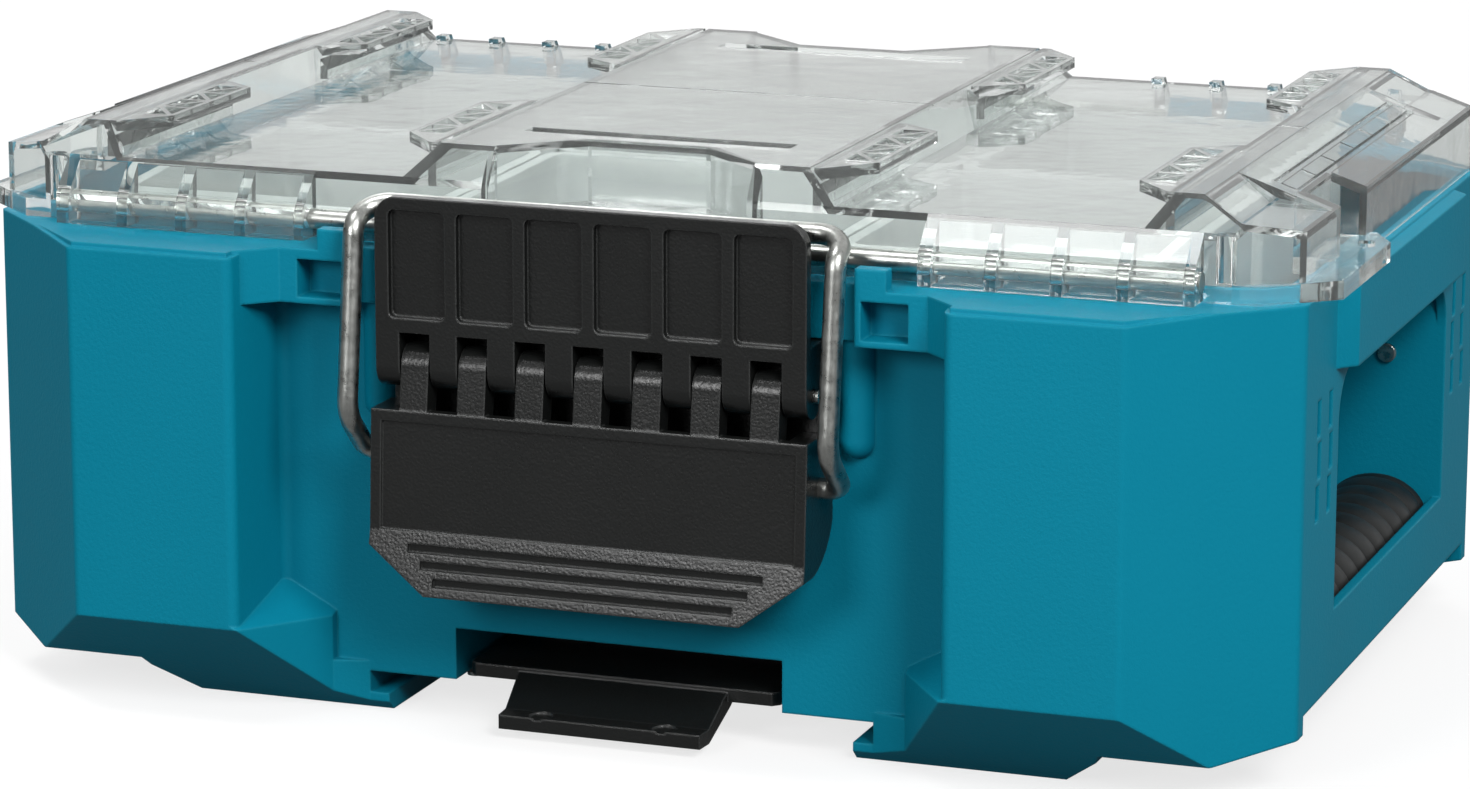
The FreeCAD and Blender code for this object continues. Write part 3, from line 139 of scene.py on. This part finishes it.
def soft_edges(place, radius):
    """Normals as if each edge had this radius, and how strongly each point is on such an edge."""
    rounded = place.node("Bevel", {"samples": 4}, {"Radius": radius})
    true = place.node("NewGeometry", out="Normal")
    facing = place.node("VectorMath", {"operation": "DOT_PRODUCT"}, {0: rounded, 1: true}, "Value")
    flat, bent = 0.995, 0.75
    return rounded, facing.span(flat, bent)


def grain_bump(place, height, depth, rounded):
    """Normals of a grain this deep, on top of the rounded edges."""
    return place.node("Bump", {}, {"Strength": 1.0, "Distance": depth, "Height": height, "Normal": rounded})


def dress(material, *names):
    """Gives CAD nodes this material."""
    for name in names:
        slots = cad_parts[name].data.materials
        slots.clear()
        slots.append(material)


teal = (0.0012, 0.190, 0.285, 1)
teal_painted_highlight = (0.020, 0.290, 0.400, 1)
teal_deep = (0.0008, 0.174, 0.263, 1)

moulded_teal, set_shader, place = new_finish("moulded_teal")
rounded, highlight_mask = soft_edges(place, 0.0011)
flow = place.stretched(1, 1, 0.35).noise(9, 3)
peel = place.noise(800, 3, 0.6)
spark = place.noise(2300, 2)
body = flow.spread().blend(teal_deep, teal)
# Painted highlight: the rounded edges are painted a lighter teal; elsewhere darker and lighter teal follow
# the random flow marks.
set_shader(base_color=(highlight_mask * 0.55).blend(body, teal_painted_highlight),
           roughness=flow.spread(0.43, 0.5) + peel * 0.05,
           normal=grain_bump(place, peel * 0.8 + spark * 0.3, 0.00012, rounded))
set_shader(specular_ior_level=0.1)
dress(moulded_teal, "case_body")

# Grips and their pins: a ribbed rubber barrel lies along the floor of each side pocket for the fingers.
# Zinc-plated steel pins with domed heads hold the pocket's end walls.


def surface(name, points, closed=False):
    """A mesh piece from a grid of points, whose last column joins its first one where it is closed."""
    rows, columns = points.shape[:2]
    index = np.arange(rows * columns).reshape(rows, columns)
    index = np.hstack([index, index[:, :1]]) if closed else index
    quads = np.stack([index[:-1, :-1], index[:-1, 1:], index[1:, 1:], index[1:, :-1]], -1).reshape(-1, 4)
    mesh = bpy.data.meshes.new(name)
    mesh.from_pydata(points.reshape(-1, 3).tolist(), [], quads.tolist())
    shell = bmesh.new()
    shell.from_mesh(mesh)
    bmesh.ops.remove_doubles(shell, verts=shell.verts, dist=1e-6)
    bmesh.ops.recalc_face_normals(shell, faces=shell.faces)
    shell.to_mesh(mesh)
    shell.free()
    mesh.shade_smooth()
    piece = bpy.data.objects.new(name, mesh)
    bpy.context.scene.collection.objects.link(piece)
    return piece


rubber_black = (0.004, 0.005, 0.005, 1)
rubber_dusty = (0.009, 0.011, 0.011, 1)

rubber, set_shader, place = new_finish("ribbed_rubber")
dust = place.noise(160, 4, 0.7)
pores = place.noise(1900, 2)
set_shader(base_color=dust.span(0.35, 0.75).blend(rubber_black, rubber_dusty),
           roughness=dust.spread(0.46, 0.62),
           normal=place.node("Bump", {}, {"Strength": 0.6, "Distance": 0.00006, "Height": pores}))
set_shader(specular_ior_level=0.4)

rib_pitch = 0.0117
rib_height = 0.0011
end_round = 0.003
grip_rows, grip_columns = 361, 41


def ribbed_barrel(name, low, high):
    """Closed barrel over a flat bed, as long as its box.

    Across, a point runs round the half ellipse x = half_wide cos(u), z = tall sin(u). Along y the girth falls
    by rib_height towards the grooves, as the square root of |cos(pi y / rib_pitch)|. A quarter circle of
    end_round draws in both ends, and one more row at each end, of no girth, closes it.
    """
    half_wide = (high.x - low.x) / 2
    tall = high.z - low.z
    length = high.y - low.y
    along = np.concatenate([[-1], np.linspace(-1, 1, grip_rows), [1]]) * length / 2
    across = np.linspace(0, np.pi, grip_columns)
    rib = np.abs(np.cos(np.pi * along / rib_pitch)) ** 0.5
    to_end = np.clip((length / 2 - np.abs(along)) / end_round, 0, 1)
    girth = 1 - rib_height / tall * (1 - rib) - end_round / tall * (1 - np.sqrt(1 - (1 - to_end) ** 2))
    girth[[0, -1]] = 0
    y, u = np.meshgrid(along, across, indexing="ij")
    g = girth[:, None]
    points = np.stack([g * half_wide * np.cos(u), y, g * tall * np.sin(u)], -1)
    middle = np.array([(low.x + high.x) / 2, (low.y + high.y) / 2, low.z])
    return surface(name, points + middle, closed=True)


for side in ("right", "left"):
    node = side + "_grip"
    grip = ribbed_barrel(side + "_ribbed_grip", *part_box(node))
    grip.data.materials.append(rubber)
    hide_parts(node)
    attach(grip, "case")

zinc = (0.31, 0.32, 0.305, 1)
zinc_bright = (0.56, 0.57, 0.545, 1)

plated_pin, set_shader, place = new_finish("plated_pin")
bloom = place.noise(420, 3, 0.6)
set_shader(base_color=bloom.span(0.35, 0.65).blend(zinc, zinc_bright), metallic=1.0,
           roughness=bloom.spread(0.2, 0.38), normal=soft_edges(place, 0.0009)[0])
dress(plated_pin, "right_pocket_pins", "left_pocket_pins", "latch_hinge_pin", "latch_base_screws",
      "stack_lock_screws")

# Lift-out bins: six thin-walled trays in pale grey polypropylene, in two rows of three.
# They hang by nothing and simply stand on the floor, with turned-out rims that nearly touch.
bin_pale_and_highlight = (0.50, 0.52, 0.515, 1)
bin_shade = (0.44, 0.46, 0.455, 1)

tray_grey, set_shader, place = new_finish("tray_grey")
rounded, highlight_mask = soft_edges(place, 0.0008)
swirl = place.noise(22, 3)
# Painted highlight: the rounded edges are pulled towards the pale grey; elsewhere pale and darker grey swirl
# at random.
set_shader(base_color=(swirl.spread() * (1 - highlight_mask * 0.5)).blend(bin_pale_and_highlight, bin_shade),
           roughness=swirl.spread(0.36, 0.5),
           normal=grain_bump(place, place.noise(1500), 0.00003, rounded))
for row in ("front", "rear"):
    for column in ("left", "middle", "right"):
        dress(tray_grey, row + "_" + column + "_bin")

# Latch: plate, pull flap and stack lock are glass-filled nylon in satin black, moulded with a leather grain.
# The plate is screwed to the rim band, and the flap turns on a steel pin through the knuckles.
black = (0.0058, 0.0064, 0.0062, 1)
black_painted_highlight = (0.095, 0.099, 0.097, 1)

satin_black, set_shader, place = new_finish("satin_black")
rounded, highlight_mask = soft_edges(place, 0.0009)
hide = place.node("TexVoronoi", {"feature": "SMOOTH_F1"}, {"Vector": place, "Scale": 1300}, "Distance")
haze = place.noise(30, 3)
# Painted highlight: the black turns a lighter grey on the rounded edges.
set_shader(base_color=(highlight_mask * 0.5).blend(black, black_painted_highlight),
           roughness=haze.spread(0.25, 0.29) + hide * 0.08,
           normal=grain_bump(place, hide, 0.00006, rounded))
dress(satin_black, "latch_base", "latch_flap", "stack_lock_slider", "stack_lock_retainer")

# Stack lock springs: two coils of plated spring wire behind the slider's heel, which push it back out.
# Their rear ends bear on the floor's recess, and they shorten as the slider is pressed in.
spring_turns = 6
wire_radius = 0.0005
steps_per_turn, wire_sides = 24, 12
low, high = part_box("stack_lock_springs")
heel_y, rest_y = low.y, high.y
spring_z = (low.z + high.z) / 2
spring_radius = high.z - spring_z - wire_radius
spring_x = high.x - wire_radius - spring_radius


def coil(name, x, z):
    """Closed wire along a helix about y.

    The middle line is x + spring_radius cos(t), z + spring_radius sin(t), and goes evenly from heel_y to
    rest_y. Round it the wire is a circle in the plane of the outward direction and of its cross product with
    the line's own direction. The wire has no girth in the first and the last row, which closes it.
    """
    turn = np.linspace(0, 2 * np.pi * spring_turns, steps_per_turn * spring_turns + 1)
    turn = np.concatenate([turn[:1], turn, turn[-1:]])
    climb = np.interp(turn, turn[[0, -1]], (heel_y + wire_radius, rest_y - wire_radius))
    outward = np.stack([np.cos(turn), 0 * turn, np.sin(turn)], -1)
    middle = np.stack([0 * turn + x, climb, 0 * turn + z], -1) + spring_radius * outward
    rise = (rest_y - heel_y) / turn[-1]
    ahead = np.stack([-spring_radius * np.sin(turn), 0 * turn + rise, spring_radius * np.cos(turn)], -1)
    aside = np.cross(ahead / np.linalg.norm(ahead, axis=1)[:, None], outward)
    girth = np.full(len(turn), wire_radius)
    girth[[0, -1]] = 0
    round_wire = np.linspace(0, 2 * np.pi, wire_sides, endpoint=False)[None, :, None]
    ring = np.cos(round_wire) * outward[:, None] + np.sin(round_wire) * aside[:, None]
    return surface(name, middle[:, None] + girth[:, None, None] * ring, closed=True)


for side, x in (("right", spring_x), ("left", -spring_x)):
    spring = coil(side + "_lock_spring", x, spring_z)
    spring.data.materials.append(plated_pin)
    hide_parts("stack_lock_springs")
    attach(spring, "case")
    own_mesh(spring)

# Bail and rods: 6 mm drawn steel wire, zinc plated, bent cold, with draw lines along its length.
# The bail's ends turn in the flap, and the rods are pushed through the lid's and the case's ribs.


def drawn_wire(name, x, y, z):
    """Plated wire whose draw lines run along the axis that is scaled least."""
    material, set_shader, place = new_finish(name)
    lines = place.stretched(x, y, z).noise(900, 3, 0.65)
    bloom = place.noise(260, 4, 0.7)
    set_shader(base_color=(lines * 0.6 + bloom * 0.5).span(0.3, 0.75).blend(zinc, zinc_bright), metallic=1.0,
               roughness=bloom.spread(0.24, 0.42),
               normal=place.node("Bump", {}, {"Strength": 0.5, "Distance": 0.00005, "Height": lines}))
    return material


dress(drawn_wire("drawn_bail", 1, 1, 0.06), "latch_bail")
dress(drawn_wire("drawn_rod", 0.04, 1, 1), "lid_front_rod", "lid_hinge_rod")

# Lid: one clear polycarbonate moulding, faintly smoky, polished on the deck and finely etched on its crests.
# It swings on the steel rod at the back and is pulled shut by the bail on the front rod.
clear_tint = (0.80, 0.825, 0.815, 1)
crest_tint = (0.74, 0.762, 0.75, 1)
shadow_tint = (0.80, 0.82, 0.815, 1)
crest_band = 0.0007

clear_lid, set_shader, place = new_finish("clear_lid")
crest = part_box("lid_shell")[1].z
height = place.node("SeparateXYZ", {}, {"Vector": place}, "Z")
on_crest = height > crest - crest_band
ripple = place.noise(55, 2)
set_shader(base_color=on_crest.blend(clear_tint, crest_tint), transmission_weight=0.975, ior=1.5,
           roughness=on_crest * 0.10 + ripple.spread(0.015, 0.045),
           normal=place.node("Bump", {}, {"Strength": 0.35, "Distance": 0.00025, "Height": ripple}))
tree = clear_lid.node_tree
shader_out = Value(tree, tree.nodes["Principled BSDF"].outputs[0])
for_lamps = place.node("LightPath", out="Is Shadow Ray")
lamp_film = place.node("BsdfTransparent", {}, {"Color": shadow_tint})
shown = place.node("MixShader", {}, {0: for_lamps, 1: shader_out, 2: lamp_film})
place.feed(tree.nodes["Material Output"].inputs["Surface"], shown)
dress(clear_lid, "lid_shell")

# Studio: a white paper floor that runs out past the view, four soft boxes, and air that is white to the eye.
# In reflections, and as light on the box, floor and air are dim. Seen through the lid, the floor is white.
white = (1, 1, 1, 1)
paper_seen = (0.95, 0.95, 0.95, 1)
paper_dim = (0.11, 0.11, 0.11, 1)
glow_share = 0.75
mirrored_share = 0.12
floor_half = 12.0
corners = np.array([[[-1, -1, 0], [1, -1, 0]], [[-1, 1, 0], [1, 1, 0]]], float)
floor = surface("studio_floor", corners * floor_half)
white_floor = bpy.data.materials.new("white_floor")
white_floor.use_nodes = True
tree = white_floor.node_tree
look = Value(tree)
ray = look.node("LightPath").socket.node
seen = Value(tree, ray.outputs["Is Camera Ray"])
seen = seen.math("MAXIMUM", seen, Value(tree, ray.outputs["Is Transmission Ray"]))
sheet = seen.blend(paper_dim, paper_seen)
seen = seen.math("MAXIMUM", seen, Value(tree, ray.outputs["Is Glossy Ray"]) * mirrored_share)
paper = look.node("BsdfDiffuse", {}, {"Color": sheet})
glow = look.node("Emission", {}, {"Color": white, "Strength": 1.0})
look.feed(tree.nodes["Material Output"].inputs["Surface"],
          look.node("MixShader", {}, {0: seen * glow_share, 1: paper, 2: glow}))
floor.data.materials.append(white_floor)

dimmest_air = 0.09
world = bpy.data.worlds.new("studio_air")
world.use_nodes = True
bpy.context.scene.world = world
tree = world.node_tree
air = Value(tree)
ray = air.node("LightPath").socket.node
direction = air.node("TexCoord", out="Generated")
parts = air.node("SeparateXYZ", {}, {"Vector": direction}).socket.node
rightward = Value(tree, parts.outputs["X"]).span(-0.1, 0.9, 0.0, 0.22)
backward = Value(tree, parts.outputs["Y"]).span(0.25, 0.8, 0.0, 0.62)
upward = Value(tree, parts.outputs["Z"]).span(0.15, 0.95, 0.0, 0.42)
lighting = dimmest_air + rightward + backward.math("MAXIMUM", backward, upward)
clear_view = Value(tree, ray.outputs["Is Camera Ray"])
background = tree.nodes["Background"].inputs
air.feed(background["Strength"], clear_view.math("MAXIMUM", clear_view, lighting))
air.feed(background["Color"], white)

aim = Vector((0, 0, 0.09))
soft_boxes = {
    "key_box": ((1.30, -1.30, 1.40), 0.8, 43),
    "front_box": ((-0.45, -1.85, 0.80), 0.6, 15),
    "top_box": ((-0.5, -0.35, 1.85), 0.6, 12.5),
    "rear_box": ((-0.9, 1.6, 1.3), 1.0, 11),
}
for name, (spot, size, watts) in soft_boxes.items():
    data = bpy.data.lights.new(name, "AREA")
    data.size = size
    data.energy = watts
    lamp = bpy.data.objects.new(name, data)
    lamp.location = spot
    lamp.rotation_euler = (aim - Vector(spot)).to_track_quat("-Z", "Y").to_euler()
    bpy.context.scene.collection.objects.link(lamp)

# Camera: a long lens, low and to the right of the latch, with its place solved from the box's edges.
camera_place = (0.53459, -1.49358, 0.44086)
focal_length = 129.81
azimuth, elevation, roll = (math.radians(angle) for angle in (19.915, 12.947, 0.091))
back = Vector((math.sin(azimuth) * math.cos(elevation), -math.cos(azimuth) * math.cos(elevation),
               math.sin(elevation)))
right = Vector((math.cos(azimuth), math.sin(azimuth), 0))
up = back.cross(right)
turned_right = right * math.cos(roll) + up * math.sin(roll)
turned_up = up * math.cos(roll) - right * math.sin(roll)
lens = bpy.data.cameras.new("long_lens")
lens.sensor_width = 36
lens.lens = focal_length
lens.clip_end = 100
camera = bpy.data.objects.new("camera", lens)
camera.matrix_world = Matrix((turned_right, turned_up, back)).transposed().to_4x4()
camera.location = camera_place
bpy.context.scene.collection.objects.link(camera)
bpy.context.scene.camera = camera
bpy.context.scene.view_settings.view_transform = "Standard"
